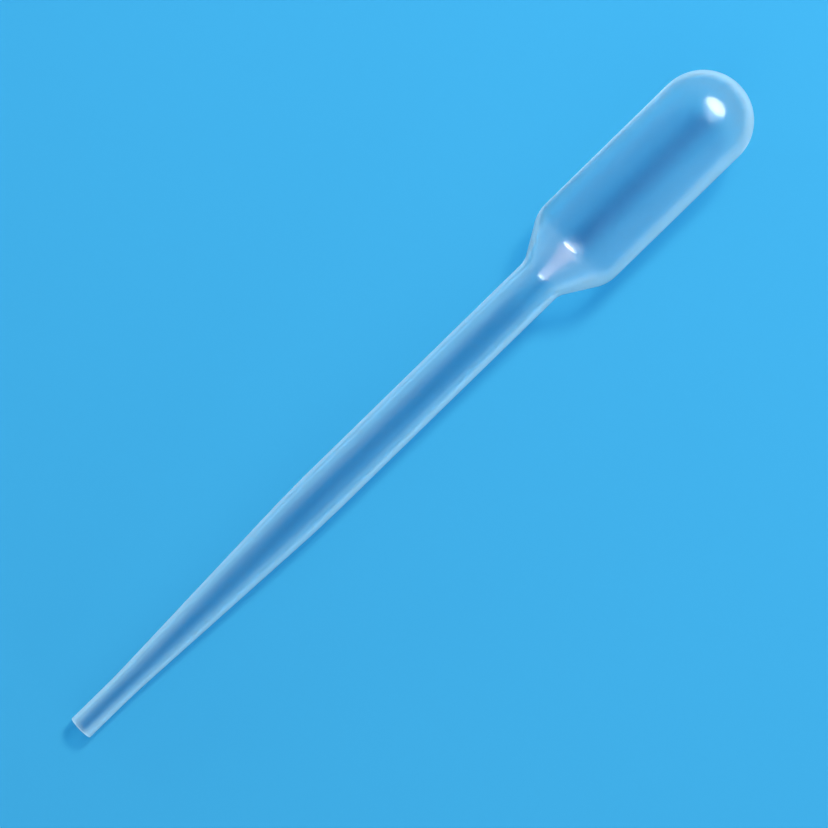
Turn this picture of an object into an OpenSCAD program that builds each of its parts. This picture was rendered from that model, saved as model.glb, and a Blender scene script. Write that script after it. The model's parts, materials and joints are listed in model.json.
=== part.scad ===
// Plastic dropper pipette, blown in one piece: an open tip, a long tapered
// stem, a cone and a closed squeeze bulb. It lies on its shoulder and on the
// lower edge of its tip, as it comes to rest on a table.

/* [Overall] */
// Length from the cut tip to the top of the dome
total_length = 150; // [146:1:170]

/* [Tip] */
// Outside diameter of the tip
tip_d = 4.28; // [3.6:0.02:5]
// Length of the straight tip, up to the corner where the taper starts
tip_length = 10.1; // [8:0.1:14]
// Wall of the tip
tip_wall = 0.75; // [0.6:0.05:0.9]

/* [Stem] */
// Outside diameter of the straight stem
stem_d = 7.88; // [7.4:0.02:8.4]
// Distance from the cut tip to the corner where the taper ends
taper_end = 51.6; // [46:0.1:58]
// Distance from the cut tip to the corner where the stem meets the cone
neck_height = 105.2; // [98:0.1:108]
// Wall of the stem
stem_wall = 1.1; // [0.8:0.05:1.3]

/* [Bulb] */
// Outside diameter of the bulb
bulb_d = 16.4; // [15:0.02:17]
// Angle between the cone and the axis
cone_angle = 31.3; // [28:0.1:40]
// Wall of the cone
cone_wall = 0.9; // [0.7:0.05:1.1]
// Wall of the bulb's side
bulb_wall = 0.7; // [0.5:0.05:1]
// Wall at the top of the dome
dome_wall = 1.35; // [1:0.05:1.6]

/* [Roundings] */
// Radius of the outside where the tip runs into the taper
tip_round = 110; // [60:5:140]
// Radius of the outside where the taper runs into the stem
taper_round = 220; // [120:10:260]
// Radius of the outside in the corner at the neck
neck_round = 3; // [1.5:0.1:4]
// Radius of the outside over the shoulder of the bulb
shoulder_round = 6; // [3:0.1:7]

/* [Hidden] */
$fn = 96;
arc_steps = 8;
dome_steps = 24;

tip_r = tip_d / 2;
stem_r = stem_d / 2;
bulb_r = bulb_d / 2;
tip_bore_r = tip_r - tip_wall;
stem_bore_r = stem_r - stem_wall;
bulb_bore_r = bulb_r - bulb_wall;
shoulder_height = neck_height + (bulb_r - stem_r) / tan(cone_angle);
dome_height = total_length - bulb_r;
dome_bore_height = total_length - dome_wall - bulb_bore_r;

// The lying pose. A line from the lower edge of the tip touches the rounding
// of the shoulder, and the floor is that line.
shoulder_centre_r = bulb_r - shoulder_round;
shoulder_centre_height = shoulder_height + shoulder_round * tan(cone_angle / 2);
shoulder_reach = norm([shoulder_centre_height, shoulder_centre_r - tip_r]);
rest_tilt = asin(shoulder_round / shoulder_reach)
    + atan2(shoulder_centre_r - tip_r, shoulder_centre_height);
tip_overhang = tip_r * sin(rest_tilt);
lying_length = tip_overhang + dome_height * cos(rest_tilt) + bulb_r;

function unit(v) = v / norm(v);

function turned(v, angle) =
    [v.x * cos(angle) - v.y * sin(angle), v.x * sin(angle) + v.y * cos(angle)];

// An arc of the given radius that rounds the corner b of the line a-b-c
function rounded(a, b, c, radius) =
    let (
        back = unit(a - b),
        ahead = unit(c - b),
        half = acos(back * ahead) / 2,
        centre = b + unit(back + ahead) * radius / sin(half),
        start = b + back * radius / tan(half) - centre,
        turn = -sign(cross(back, ahead)) * (180 - 2 * half)
    )
    [for (i = [0:arc_steps]) centre + turned(start, turn * i / arc_steps)];

// A quarter circle from the side of the bulb to its axis
function dome(radius, height) =
    [for (i = [0:dome_steps])
        let (angle = 90 * i / dome_steps)
        [radius * cos(angle), height + radius * sin(angle)]];

// Where a corner of the cone's outside lies on its inside, whose wall beside
// the cone is the given one
function inside(height, wall) =
    height + (cone_wall / cos(cone_angle) - wall) / tan(cone_angle);

// One side of the wall, from the tip to the top of the dome, as [radius, height]
function side(tip, stem, bulb, neck, shoulder, dome_start, rounds) =
    let (
        mouth = [tip, 0],
        tip_corner = [tip, tip_length],
        taper_corner = [stem, taper_end],
        neck_corner = [stem, neck],
        shoulder_corner = [bulb, shoulder],
        bulb_end = [bulb, dome_start]
    )
    concat(
        [mouth],
        rounded(mouth, tip_corner, taper_corner, tip_round),
        rounded(tip_corner, taper_corner, neck_corner, taper_round),
        rounded(taper_corner, neck_corner, shoulder_corner, rounds[0]),
        rounded(neck_corner, shoulder_corner, bulb_end, rounds[1]),
        dome(bulb, dome_start)
    );

function reversed(points) = [for (i = [len(points) - 1:-1:0]) points[i]];

// The half section of the blown wall
module wall_section() {
    outside = side(tip_r, stem_r, bulb_r, neck_height, shoulder_height, dome_height,
        [neck_round, shoulder_round]);
    bore = side(tip_bore_r, stem_bore_r, bulb_bore_r,
        inside(neck_height, stem_wall), inside(shoulder_height, bulb_wall), dome_bore_height,
        [neck_round + cone_wall, shoulder_round - cone_wall]);
    polygon(concat(outside, reversed(bore)));
}

module pipette() {
    color([0.86, 0.92, 0.96, 0.6])
        translate([tip_overhang - lying_length / 2, 0, tip_r * cos(rest_tilt)])
            rotate([0, 90 - rest_tilt, 0])
                rotate_extrude()
                    wall_section();
}

pipette();
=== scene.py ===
import json
from math import atan2, cos, pi, radians, sin, tan

import bmesh
import bpy
from mathutils import Matrix, Vector


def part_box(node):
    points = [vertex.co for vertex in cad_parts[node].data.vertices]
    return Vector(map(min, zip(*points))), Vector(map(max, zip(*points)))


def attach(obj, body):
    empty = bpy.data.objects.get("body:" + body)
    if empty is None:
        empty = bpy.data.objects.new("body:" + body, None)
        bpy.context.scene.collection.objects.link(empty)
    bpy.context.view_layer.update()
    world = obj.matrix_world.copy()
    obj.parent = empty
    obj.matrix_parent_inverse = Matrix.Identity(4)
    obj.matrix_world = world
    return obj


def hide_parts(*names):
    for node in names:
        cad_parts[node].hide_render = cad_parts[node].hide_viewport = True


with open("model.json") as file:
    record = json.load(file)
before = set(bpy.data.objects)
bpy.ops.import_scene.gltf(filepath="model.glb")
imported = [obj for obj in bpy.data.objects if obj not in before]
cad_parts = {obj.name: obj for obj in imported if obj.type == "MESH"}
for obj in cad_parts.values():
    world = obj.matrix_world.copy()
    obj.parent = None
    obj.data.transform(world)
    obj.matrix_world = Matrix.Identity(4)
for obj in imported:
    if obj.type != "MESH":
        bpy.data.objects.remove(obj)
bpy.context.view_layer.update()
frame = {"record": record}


# ---- Pipette -------------------------------------------------------------------------------------
# One hollow piece of unpigmented low-density polyethylene, blown in a split mould: an open cut tip,
# a long taper, a round stem, a cone and a closed squeeze bulb. The wall is a section turned once
# round the axis, and the axis leans up from the floor by the angle at which the pipette comes to rest.

mounts = {mount["name"]: mount for mount in frame["record"]["mounts"]}
box_low, box_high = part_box("pipette")
mouth_way = Vector(mounts["tip_outside"]["axis"])
rest_tilt = atan2(-mouth_way.z, -mouth_way.x)

tip_r = mounts["tip_outside"]["dims"]["r_mm"] / 1000
bore_r = mounts["tip_bore"]["dims"]["r_mm"] / 1000
stem_r = mounts["stem"]["dims"]["r_mm"] / 1000
bulb_r = (box_high.y - box_low.y) / 2
tip_overhang = tip_r * sin(rest_tilt)
dome_height = (box_high.x - box_low.x - tip_overhang - bulb_r) / cos(rest_tilt)
total_length = dome_height + bulb_r

cone_angle = radians(31.3)
neck_height = 0.1052
tip_length = 0.0101
taper_end = 0.0516
shoulder_height = neck_height + (bulb_r - stem_r) / tan(cone_angle)

stem_wall = 0.0011
cone_wall = 0.0009
bulb_wall = 0.0007
dome_wall = 0.00135
stem_bore_r = stem_r - stem_wall
bulb_bore_r = bulb_r - bulb_wall

tip_round = 0.110
taper_round = 0.220
neck_round = 0.0030
shoulder_round = 0.0060
cut_round = 0.00008
cut_rim = 0.0003
ring_pitch = 0.0012
turn_steps = 144
arc_steps = 8
cut_steps = 3
dome_steps = 22


def inside(height, wall):
    """Where a corner of the cone's outside lies on its bore, beside a wall of this thickness."""
    return height + (cone_wall / cos(cone_angle) - wall) / tan(cone_angle)


def round_corner(bm, corner, radius, steps):
    """Rounds one corner of the open section, so that the arc touches both of its straight runs."""
    one, two = [edge.other_vert(corner).co - corner.co for edge in corner.link_edges]
    turn = pi - one.angle(two)
    bmesh.ops.bevel(bm, geom=[corner], offset=radius * tan(turn / 2), offset_type="OFFSET",
                    segments=steps, profile=0.5, affect="VERTICES", material=-1)


def wall_side(bm, tip, stem, bulb, neck, shoulder, top, rounds):
    """One side of the wall, from the mouth to the top of the dome. Gives its point at the mouth."""
    dome_start = top - bulb
    corners = [(tip, 0), (tip, tip_length), (stem, taper_end), (stem, neck),
               (bulb, shoulder), (bulb, dome_start)]
    points = [bm.verts.new((radius, 0, height)) for radius, height in corners]
    for first, second in zip(points, points[1:]):
        bm.edges.new((first, second))
    bmesh.ops.spin(bm, geom=[points[-1]], cent=(0, 0, dome_start), axis=(0, -1, 0),
                   angle=pi / 2, steps=dome_steps, use_merge=False)
    for corner, radius in zip(points[1:5], rounds):
        round_corner(bm, corner, radius, arc_steps)
    return points[0]


section = bmesh.new()
outer_mouth = wall_side(
    section, tip_r, stem_r, bulb_r, neck_height, shoulder_height, total_length,
    (tip_round, taper_round, neck_round, shoulder_round))
inner_mouth = wall_side(
    section, bore_r, stem_bore_r, bulb_bore_r, inside(neck_height, stem_wall),
    inside(shoulder_height, bulb_wall), total_length - dome_wall,
    (tip_round, taper_round, neck_round + cone_wall, shoulder_round - cone_wall))
section.edges.new((outer_mouth, inner_mouth))
for corner in (outer_mouth, inner_mouth):
    round_corner(section, corner, cut_round, cut_steps)
for edge in [edge for edge in section.edges if edge.calc_length() > ring_pitch]:
    bmesh.ops.subdivide_edges(section, edges=[edge], cuts=int(edge.calc_length() / ring_pitch))
# One more ring close to the mouth keeps the white of the cut edge to its rim
bmesh.ops.bisect_plane(section, geom=section.verts[:] + section.edges[:], plane_co=(0, 0, cut_rim),
                       plane_no=(0, 0, 1))
bmesh.ops.spin(section, geom=section.verts[:] + section.edges[:], cent=(0, 0, 0), axis=(0, 0, 1),
               angle=2 * pi, steps=turn_steps, use_merge=True)
bmesh.ops.remove_doubles(section, verts=section.verts[:], dist=1e-7)
bmesh.ops.recalc_face_normals(section, faces=section.faces[:])
for face in section.faces:
    face.smooth = True

# How the wall varies from the mouth to the top of the dome. Each list of levels has one value for each
# station, and a pair of lists is for the near side (-Y) and the far side (+Y). The haze grows from
# haze_from to haze_to as the wall turns edge-on, up to rim_haze, over an even body_haze. The
# painted_bore_line is a painted line, lighter and then darker, where the edge of the bore shows inside
# the stem, and edge_shade is how much the edges shade the floor.
blur = 0.0015
wall_stations = (0, cut_rim, tip_length, taper_end, neck_height - blur, neck_height + blur,
                 shoulder_height - blur, shoulder_height + blur, dome_height, total_length)
haze_levels = {
    "haze_from": ((0.03, 0.03, 0.12, 0.24, 0.24, 0.36, 0.36, 0.29, 0.26, 0.30),
                  (0.05, 0.05, 0.12, 0.25, 0.25, 0.44, 0.44, 0.50, 0.44, 0.30)),
    "haze_to": ((0.40, 0.40, 0.44, 0.46, 0.46, 0.58, 0.58, 0.72, 0.66, 0.72),
                (0.50, 0.50, 0.55, 0.60, 0.60, 0.64, 0.64, 0.95, 0.82, 0.74)),
    "rim_haze": ((0.75, 0.50, 0.50, 0.54, 0.54, 0.74, 0.74, 0.52, 0.58, 0.72),
                 (0.90, 0.62, 0.62, 0.54, 0.54, 0.80, 0.78, 0.54, 0.74, 0.74)),
    "body_haze": ((0.80, 0.04, 0.02, 0.01, 0.01, 0.04, 0.04, 0.00, 0.00, 0.05),
                  (0.90, 0.10, 0.10, 0.08, 0.08, 0.05, 0.06, 0.00, 0.00, 0.05)),
    "painted_bore_line": ((0.00, 0.00, 0.00, 0.00, 0.00, 0.00, 0.00, 0.00, 0.00, 0.00),
                  (0.00, 0.00, 0.30, 0.64, 0.64, 0.40, 0.30, 0.00, 0.00, 0.00)),
    "edge_shade": ((1.00, 1.00, 1.00, 1.00, 1.00, 0.85, 0.75, 0.90, 0.80, 0.60),
                   (1.00, 1.00, 1.00, 1.00, 1.00, 0.50, 0.20, 0.35, 0.50, 0.50))}

# Painted shadow: the lamp light let through to the floor, by the upper half and by the underside, where
# it is least along the shade band line, paints a dark band on the floor seen under the pipette.
# A shade band line of 0 is straight below the axis, and below 0 it is on the near side.
top_clear = (0.64, 0.64, 0.64, 0.68, 0.68, 0.70, 0.90, 1.00, 1.00, 1.00)
shade_band_line = (-0.16, -0.16, -0.17, -0.08, -0.08, -0.03, 0.00, 0.01, 0.02, 0.02)
shade_band_clear = (0.36, 0.36, 0.36, 0.31, 0.31, 0.26, 0.10, 0.06, 0.06, 0.06)
far_dimming = 0.25
shade_band_slope = 2.4
far_side_start, far_side_blend = 0.05, 0.25


def along_wall(levels, height):
    """The value at this height above the mouth, between the levels given at the wall's stations."""
    for low, high, first, second in zip(wall_stations, wall_stations[1:], levels, levels[1:]):
        if height <= high:
            return first + (second - first) * max(height - low, 0) / (high - low)
    return levels[-1]


clear_layer = section.verts.layers.float.new("clear_share")
haze_layers = {name: section.verts.layers.float.new(name) for name in haze_levels}
for point in section.verts:
    to_far_side = point.co.y / max(point.co.xy.length, cut_round)
    far_share = min(max((to_far_side - far_side_start) / far_side_blend, 0), 1)
    for name, (near_side, far_side) in haze_levels.items():
        level = along_wall(near_side, point.co.z)
        point[haze_layers[name]] = level + far_share * (along_wall(far_side, point.co.z) - level)
    # Painted shadow: the underside lets least lamp light through along the shade band line
    if point.co.x > 0:   # the section's own +X points down once it lies on the floor
        from_shade_band = abs(to_far_side - along_wall(shade_band_line, point.co.z))
        point[clear_layer] = min(along_wall(shade_band_clear, point.co.z) + shade_band_slope * from_shade_band, 1)
    else:
        point[clear_layer] = along_wall(top_clear, point.co.z) - far_dimming * to_far_side
lay_down = (Matrix.Translation((box_low.x + tip_overhang, 0, box_low.z + tip_r * cos(rest_tilt)))
            @ Matrix.Rotation(pi / 2 - rest_tilt, 4, "Y"))
bmesh.ops.transform(section, matrix=lay_down, verts=section.verts[:])
pipette_mesh = bpy.data.meshes.new("blown_pipette")
section.to_mesh(pipette_mesh)
section.free()
pipette = bpy.data.objects.new("blown_pipette", pipette_mesh)
bpy.context.collection.objects.link(pipette)

# Unpigmented polyethylene: a clear satin wall with a gloss skin, milky where much of it is in line.
ldpe = bpy.data.materials.new("milky_polyethylene")
ldpe.use_nodes = True
nodes, links = ldpe.node_tree.nodes, ldpe.node_tree.links
nodes.clear()
output = nodes.new("ShaderNodeOutputMaterial")
facing = nodes.new("ShaderNodeLayerWeight")
facing.inputs["Blend"].default_value = 0.5
front = nodes.new("ShaderNodeNewGeometry")


def wall_value(name):
    """The value of one of the mesh's own layers."""
    read = nodes.new("ShaderNodeAttribute")
    read.attribute_name = name
    return read.outputs["Fac"]


def reckon(operation, first, second):
    """One sum of two values, each a socket or a number."""
    sum_node = nodes.new("ShaderNodeMath")
    sum_node.operation = operation
    for socket, value in zip(sum_node.inputs, (first, second)):
        if isinstance(value, (int, float)):
            socket.default_value = value
        else:
            links.new(value, socket)
    return sum_node.outputs["Value"]


def spread(name, value, low, high, at_low, at_high):
    """Maps a value that runs from low to high onto the range from at_low to at_high, with soft ends."""
    scale = nodes.new("ShaderNodeMapRange")
    scale.name = name
    scale.interpolation_type = "SMOOTHSTEP"
    links.new(value, scale.inputs["Value"])
    for end, level in (("From Min", low), ("From Max", high), ("To Min", at_low), ("To Max", at_high)):
        if isinstance(level, (int, float)):
            scale.inputs[end].default_value = level
        else:
            links.new(level, scale.inputs[end])
    return scale.outputs["Result"]


clear = nodes.new("ShaderNodeBsdfPrincipled")
clear.name = "clear"
clear.inputs["Base Color"].default_value = (0.97, 0.985, 1.0, 1)
clear.inputs["IOR"].default_value = 1.5
clear.inputs["Specular Tint"].default_value = (0, 0, 0, 1)
clear.inputs["Transmission Weight"].default_value = 1.0
clear.inputs["Coat Weight"].default_value = 1.0
clear.inputs["Coat Roughness"].default_value = 0.13
outer_skin, inner_skin = 0.28, 0.05
skin = spread("skin", front.outputs["Backfacing"], 0, 1, outer_skin, inner_skin)
links.new(skin, clear.inputs["Roughness"])
milk = nodes.new("ShaderNodeBsdfPrincipled")
milk.name = "milk"
# Painted light: the milk and its sheen are tinted blue for the blue light off the floor seen in the edges;
# the plastic itself is unpigmented
milk.inputs["Base Color"].default_value = (0.64, 0.88, 1.0, 1)
milk.inputs["Sheen Weight"].default_value = 1.0
milk.inputs["Sheen Roughness"].default_value = 0.3
milk.inputs["Sheen Tint"].default_value = (0.8, 0.93, 1.0, 1)

# Long faint marks from the drawing of the tube, in haze, gloss and relief
draw_length, draw_width = 0.05, 0.0025
faint_mark, full_mark = 0.3, 0.7
place = nodes.new("ShaderNodeTexCoord")
along = nodes.new("ShaderNodeMapping")
along.vector_type = "TEXTURE"
along.inputs["Rotation"].default_value = (0, -rest_tilt, 0)
along.inputs["Scale"].default_value = (draw_length, draw_width, draw_width)
drawn = nodes.new("ShaderNodeTexNoise")
drawn.inputs["Scale"].default_value = 1.0
drawn.inputs["Detail"].default_value = 2.0
links.new(place.outputs["Object"], along.inputs["Vector"])
links.new(along.outputs["Vector"], drawn.inputs["Vector"])
streaks = spread("streaks", drawn.outputs["Fac"], faint_mark, full_mark, -0.05, 0.02)
rim = spread("rim", facing.outputs["Facing"], wall_value("haze_from"), wall_value("haze_to"),
             0, wall_value("rim_haze"))
# Painted light and shade: the edge of the bore drawn as a thin pair of lines, lighter and then darker,
# beside the rim
no_change = 0.5
painted_bore_edge = nodes.new("ShaderNodeValToRGB")
painted_bore_edge.name = "painted_bore_edge"
bends = painted_bore_edge.color_ramp.elements
bends[0].position = 0.28
bends[0].color = (no_change, no_change, no_change, 1)
bends[1].position = 0.55
bends[1].color = (no_change, no_change, no_change, 1)
bends.new(0.35).color = (0.9, 0.9, 0.9, 1)
bends.new(0.48).color = (0, 0, 0, 1)
links.new(facing.outputs["Facing"], painted_bore_edge.inputs["Fac"])
line_change = reckon("SUBTRACT", painted_bore_edge.outputs["Color"], no_change)
line_haze = reckon("MULTIPLY", line_change, wall_value("painted_bore_line"))
haze = reckon("ADD", rim, wall_value("body_haze"))
haze = reckon("ADD", haze, line_haze)
haze = reckon("ADD", haze, streaks)
worn_gloss = spread("worn_gloss", drawn.outputs["Fac"], faint_mark, full_mark, 0.28, 0.42)
links.new(worn_gloss, milk.inputs["Roughness"])
draw_marks = nodes.new("ShaderNodeBump")
draw_marks.inputs["Strength"].default_value = 0.3
draw_marks.inputs["Distance"].default_value = 0.00006
links.new(drawn.outputs["Fac"], draw_marks.inputs["Height"])
links.new(draw_marks.outputs["Normal"], clear.inputs["Normal"])
links.new(draw_marks.outputs["Normal"], clear.inputs["Coat Normal"])
links.new(draw_marks.outputs["Normal"], milk.inputs["Normal"])
outside = reckon("SUBTRACT", 1.0, front.outputs["Backfacing"])
hazy = nodes.new("ShaderNodeMixShader")
links.new(reckon("MULTIPLY", haze, outside), hazy.inputs[0])
links.new(clear.outputs[0], hazy.inputs[1])
links.new(milk.outputs[0], hazy.inputs[2])

# Lamp light and light off the floor pass straight through, tinted, and least of all at the edges
through = nodes.new("ShaderNodeBsdfTransparent")
edge_tint = nodes.new("ShaderNodeValToRGB")
edge_tint.name = "edge_tint"
tints = edge_tint.color_ramp.elements
tints[0].color = (0.96, 0.98, 0.99, 1)
tints[1].position = 0.45
tints[1].color = (0.88, 0.94, 0.97, 1)
tints.new(0.75).color = (0.38, 0.63, 0.77, 1)
tints.new(1.0).color = (0.15, 0.45, 0.65, 1)
# Painted shadow: a darker tint where clear_share is low, for the dark band on the floor under the pipette
shade_band_tint = nodes.new("ShaderNodeValToRGB")
shade_band_tint.name = "shade_band_tint"
shade_band_tint.color_ramp.elements[0].color = (0.21, 0.60, 0.74, 1)
shade_band_tint.color_ramp.elements[1].color = (1, 1, 1, 1)
lamp_tint = nodes.new("ShaderNodeMix")
lamp_tint.data_type = "RGBA"
lamp_tint.blend_type = "MULTIPLY"
lamp_tint.inputs["Factor"].default_value = 1
shaded_edge = reckon("MULTIPLY", facing.outputs["Facing"], wall_value("edge_shade"))
links.new(shaded_edge, edge_tint.inputs["Fac"])
links.new(wall_value("clear_share"), shade_band_tint.inputs["Fac"])
links.new(edge_tint.outputs["Color"], lamp_tint.inputs["A"])
links.new(shade_band_tint.outputs["Color"], lamp_tint.inputs["B"])
links.new(lamp_tint.outputs["Result"], through.inputs["Color"])
light_path = nodes.new("ShaderNodeLightPath")
shown = hazy
for ray in ("Is Diffuse Ray", "Is Shadow Ray"):
    straight = nodes.new("ShaderNodeMixShader")
    links.new(light_path.outputs[ray], straight.inputs[0])
    links.new(shown.outputs[0], straight.inputs[1])
    links.new(through.outputs[0], straight.inputs[2])
    shown = straight
links.new(shown.outputs[0], output.inputs["Surface"])
pipette_mesh.materials.append(ldpe)

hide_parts("pipette")
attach(pipette, "root")


# ---- Floor ---------------------------------------------------------------------------------------
# A plain pale blue sheet under the pipette, which shows through the wall and takes its soft shadow.

floor_half = 3.0
floor_bm = bmesh.new()
bmesh.ops.create_grid(floor_bm, x_segments=1, y_segments=1, size=floor_half)
floor_mesh = bpy.data.meshes.new("floor")
floor_bm.to_mesh(floor_mesh)
floor_bm.free()
floor = bpy.data.objects.new("floor", floor_mesh)
bpy.context.collection.objects.link(floor)
sheet = bpy.data.materials.new("pale_blue_sheet")
sheet.use_nodes = True
sheet_shader = sheet.node_tree.nodes["Principled BSDF"]
sheet_shader.inputs["Base Color"].default_value = (0.055, 0.43, 0.80, 1)
sheet_shader.inputs["Roughness"].default_value = 0.9
sheet_shader.inputs["Specular IOR Level"].default_value = 0.0
floor_mesh.materials.append(sheet)


# ---- Lamps and sky -------------------------------------------------------------------------------
# A pale room, brighter near the horizon. Four lamps give light: one over each end, the dome end's the
# main one, and a low bluish one on each side for the rims. Three more show only as gloss on the skin:
# on the dome, at both ends of the cone, and as a warm glow between them.

room = bpy.data.worlds.new("room")
room.use_nodes = True
room_nodes, room_links = room.node_tree.nodes, room.node_tree.links
way_out = room_nodes.new("ShaderNodeTexCoord")
way_parts = room_nodes.new("ShaderNodeSeparateXYZ")
wall_glow = room_nodes.new("ShaderNodeMapRange")
wall_glow.name = "wall_glow"
wall_glow.inputs["From Min"].default_value = 0.1
wall_glow.inputs["From Max"].default_value = 0.95
wall_glow.inputs["To Min"].default_value = 0.35
wall_glow.inputs["To Max"].default_value = 0.03
room_links.new(way_out.outputs["Generated"], way_parts.inputs["Vector"])
room_links.new(way_parts.outputs["Z"], wall_glow.inputs["Value"])
room_links.new(wall_glow.outputs["Result"], room_nodes["Background"].inputs["Strength"])
room_nodes["Background"].inputs["Color"].default_value = (0.88, 0.95, 1.0, 1)
bpy.context.scene.world = room


def soft_box(name, lean_x, lean_y, distance, size_along, size_across, watts, in_gloss, tint=(1, 1, 1)):
    """An oval lamp, leaning in degrees towards +X and +Y, that shows only in gloss or only gives light."""
    light = bpy.data.lights.new(name, "AREA")
    light.shape = "ELLIPSE"
    light.size, light.size_y = size_along, size_across
    light.energy = watts
    light.color = tint
    lamp = bpy.data.objects.new(name, light)
    way = Vector((tan(radians(lean_x)), tan(radians(lean_y)), 1)).normalized()
    across = way.cross(Vector((1, 0, 0))).normalized()
    turn = Matrix((across.cross(way), across, way)).transposed().to_4x4()
    lamp.matrix_world = Matrix.Translation(way * distance) @ turn
    lamp.visible_camera = False
    lamp.visible_transmission = False
    lamp.visible_diffuse = not in_gloss
    lamp.visible_glossy = in_gloss
    bpy.context.collection.objects.link(lamp)


soft_box("dome_end_light", 38, 9, 0.9, 0.2, 0.2, 7.2, False)
soft_box("tip_end_light", -35, -30, 1.0, 0.9, 0.9, 1.8, False)
soft_box("near_side_light", -40, -80, 1.0, 0.3, 0.3, 2.9, False, (0.66, 0.86, 1.0))
soft_box("far_side_light", -40, 80, 1.0, 0.3, 0.3, 2.9, False, (0.66, 0.86, 1.0))
soft_box("dome_end_gloss", 43, 3, 0.9, 0.46, 0.80, 13.5, True)
soft_box("tip_end_gloss", -38, 8, 1.0, 0.05, 0.58, 4.6, True)
soft_box("tip_end_glow", -56, 4, 1.0, 0.5, 0.9, 3.2, True, (1.0, 0.47, 0.29))


# ---- Camera --------------------------------------------------------------------------------------
# Straight above the pipette with a long lens, turned so that the tip is at the lower left and the bulb
# at the upper right. The view width holds at the middle height of the pipette.

camera_height = 0.90
view_width = 0.13440
axis_turn = radians(44.3)
view_x, view_y = -0.00002, -0.0013
mid_height = 0.008
camera_data = bpy.data.cameras.new("camera")
camera_data.sensor_width = 36
camera_data.lens = 36 * (camera_height - mid_height) / view_width
camera = bpy.data.objects.new("camera", camera_data)
camera.location = (view_x, view_y, camera_height)
camera.rotation_euler = (0, 0, -axis_turn)
bpy.context.collection.objects.link(camera)
bpy.context.scene.camera = camera
bpy.context.scene.view_settings.view_transform = "Standard"
